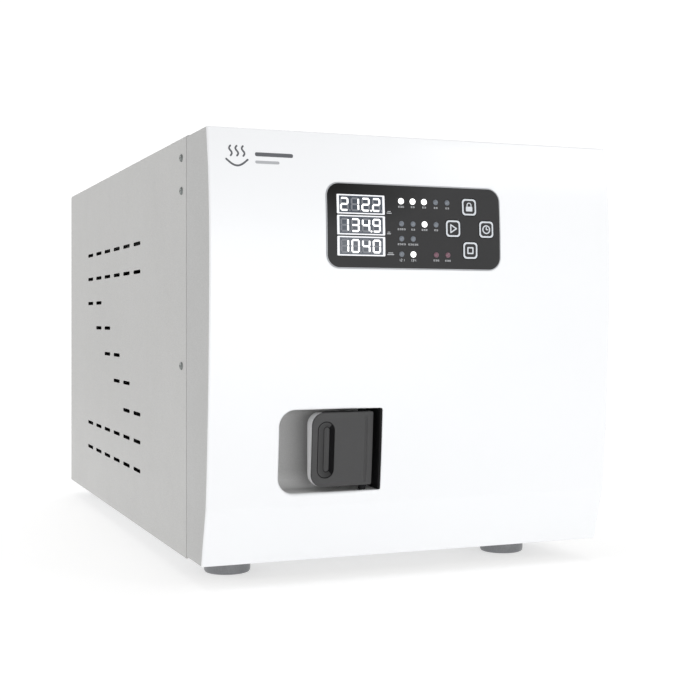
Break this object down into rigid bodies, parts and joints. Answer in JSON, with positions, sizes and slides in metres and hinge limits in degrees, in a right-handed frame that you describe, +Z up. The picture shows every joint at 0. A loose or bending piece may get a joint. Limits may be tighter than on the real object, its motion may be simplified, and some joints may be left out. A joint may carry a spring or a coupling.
{
  "type": "benchtop autoclave",
  "caption": "Benchtop steam autoclave: steel cabinet on rubber feet, full-face hinged door with display panel and pull handle, round steam chamber with trays inside.",
  "frame": {"origin": "on the worktop, under the middle of the whole object, feet standing on z = 0", "axes": "+X to the right of a person facing the door, +Y from the door towards the rear, +Z up"},
  "size_m": [0.44, 0.772, 0.44],
  "materials": {
    "cover_paint": "fine-textured light grey powder coat",
    "base_steel": "grey powder coat",
    "door_white": "smooth white moulded plastic, satin gloss",
    "bezel_white": "white moulded plastic, matte",
    "foot_rubber": "dark grey rubber",
    "handle_charcoal": "charcoal matte plastic",
    "recess_grey": "grey matte plastic",
    "panel_dark": "dark grey satin membrane",
    "key_print": "dark grey membrane key with a light printed outline",
    "display_window": "smoked blue-grey display window with white segments",
    "stainless": "brushed stainless steel",
    "zinc_steel": "zinc plated steel",
    "silicone": "off-white silicone rubber",
    "insulation_foil": "foil-faced insulation",
    "insulation_blanket": "foil-faced glass fibre blanket",
    "brass": "machined brass",
    "aluminium": "bare aluminium",
    "pcb_green": "green circuit board",
    "black_plastic": "black moulded plastic",
    "tank_plastic": "translucent white moulded plastic",
    "cast_grey": "grey painted casting"
  },
  "bodies": {
    "cabinet": {"base_plate": "base_steel", "outer_cover": "cover_paint", "rear_panel": "base_steel", "front_bezel": "bezel_white", "foot_front_left": "foot_rubber", "foot_front_right": "foot_rubber", "foot_rear_left": "foot_rubber", "foot_rear_right": "foot_rubber", "screw_rail_left": "zinc_steel", "screw_rail_right": "zinc_steel", "chamber_vessel": "stainless", "chamber_flange": "stainless", "heater_band": "insulation_foil", "insulation_jacket": "insulation_blanket", "chamber_cradle": "base_steel", "tray_rack": "stainless", "tray_lower": "stainless", "tray_middle": "stainless", "tray_upper": "stainless", "steam_generator": "stainless", "vacuum_pump": "cast_grey", "water_pump": "black_plastic", "condenser": "aluminium", "fan_shroud": "black_plastic", "clean_water_tank": "tank_plastic", "waste_water_tank": "tank_plastic", "valve_block": "brass", "safety_valve": "brass", "main_pcb": "pcb_green", "power_inlet": "black_plastic", "air_filter": "tank_plastic", "drain_couplings": "brass", "cabinet_hinge_leaf": "zinc_steel", "hinge_pin": "zinc_steel", "latch_keeper": "zinc_steel", "lock_solenoid": "black_plastic"},
    "door": {"door_cover": "door_white", "door_liner": "bezel_white", "pressure_door": "stainless", "door_gasket": "silicone", "locking_yoke": "cast_grey", "door_hinge_leaf": "zinc_steel", "control_overlay": "panel_dark", "control_pcb": "pcb_green", "display_upper": "display_window", "display_middle": "display_window", "display_lower": "display_window", "handle_recess": "recess_grey"},
    "handle": {"handle_lever": "handle_charcoal", "handle_crankshaft": "zinc_steel"},
    "latch": {"latch_slide": "zinc_steel"},
    "plunger": {"lock_plunger": "zinc_steel"},
    "fan": {"fan_rotor": "black_plastic"},
    "lid": {"filler_lid": "cover_paint"},
    "switch_rocker": {"power_switch": "black_plastic"},
    "button_p": {"key_p": "key_print"},
    "button_t": {"key_t": "key_print"},
    "button_s": {"key_s": "key_print"},
    "button_lock": {"key_lock": "key_print"}
  },
  "joints": [
    {"name": "door_swing", "type": "hinge", "parent": "cabinet", "child": "door", "pos_m": [0.213, -0.307, 0.2], "axis": [0, 0, 1], "range_deg": [0, 100]},
    {"name": "handle_turn", "type": "hinge", "parent": "door", "child": "handle", "pos_m": [-0.058, -0.368, 0.13], "axis": [0, 0, 1], "range_deg": [0, 40]},
    {"name": "latch_travel", "type": "slide", "parent": "door", "child": "latch", "axis": [-1, 0, 0], "range_m": [0, 0.01028]},
    {"name": "plunger_travel", "type": "slide", "parent": "cabinet", "child": "plunger", "axis": [0, -1, 0], "range_m": [0, 0.008]},
    {"name": "key_p_press", "type": "slide", "parent": "door", "child": "button_p", "axis": [0, 1, 0], "range_m": [0, 0.0005]},
    {"name": "key_t_press", "type": "slide", "parent": "door", "child": "button_t", "axis": [0, 1, 0], "range_m": [0, 0.0005]},
    {"name": "key_s_press", "type": "slide", "parent": "door", "child": "button_s", "axis": [0, 1, 0], "range_m": [0, 0.0005]},
    {"name": "key_lock_press", "type": "slide", "parent": "door", "child": "button_lock", "axis": [0, 1, 0], "range_m": [0, 0.0005]},
    {"name": "fan_spin", "type": "hinge", "parent": "cabinet", "child": "fan", "pos_m": [-0.095, 0.358, 0.27], "axis": [0, 1, 0], "continuous": true},
    {"name": "lid_swing", "type": "hinge", "parent": "cabinet", "child": "lid", "pos_m": [0, 0.26875, 0.43875], "axis": [-1, 0, 0], "range_deg": [0, 95]},
    {"name": "switch_rock", "type": "hinge", "parent": "cabinet", "child": "switch_rocker", "pos_m": [0.159, 0.366, 0.074], "axis": [-1, 0, 0], "range_deg": [0, 12]}
  ],
  "couplings": [
    {"joint": "handle_turn", "follows": "latch_travel", "rad_per_m": 67.889}
  ]
}
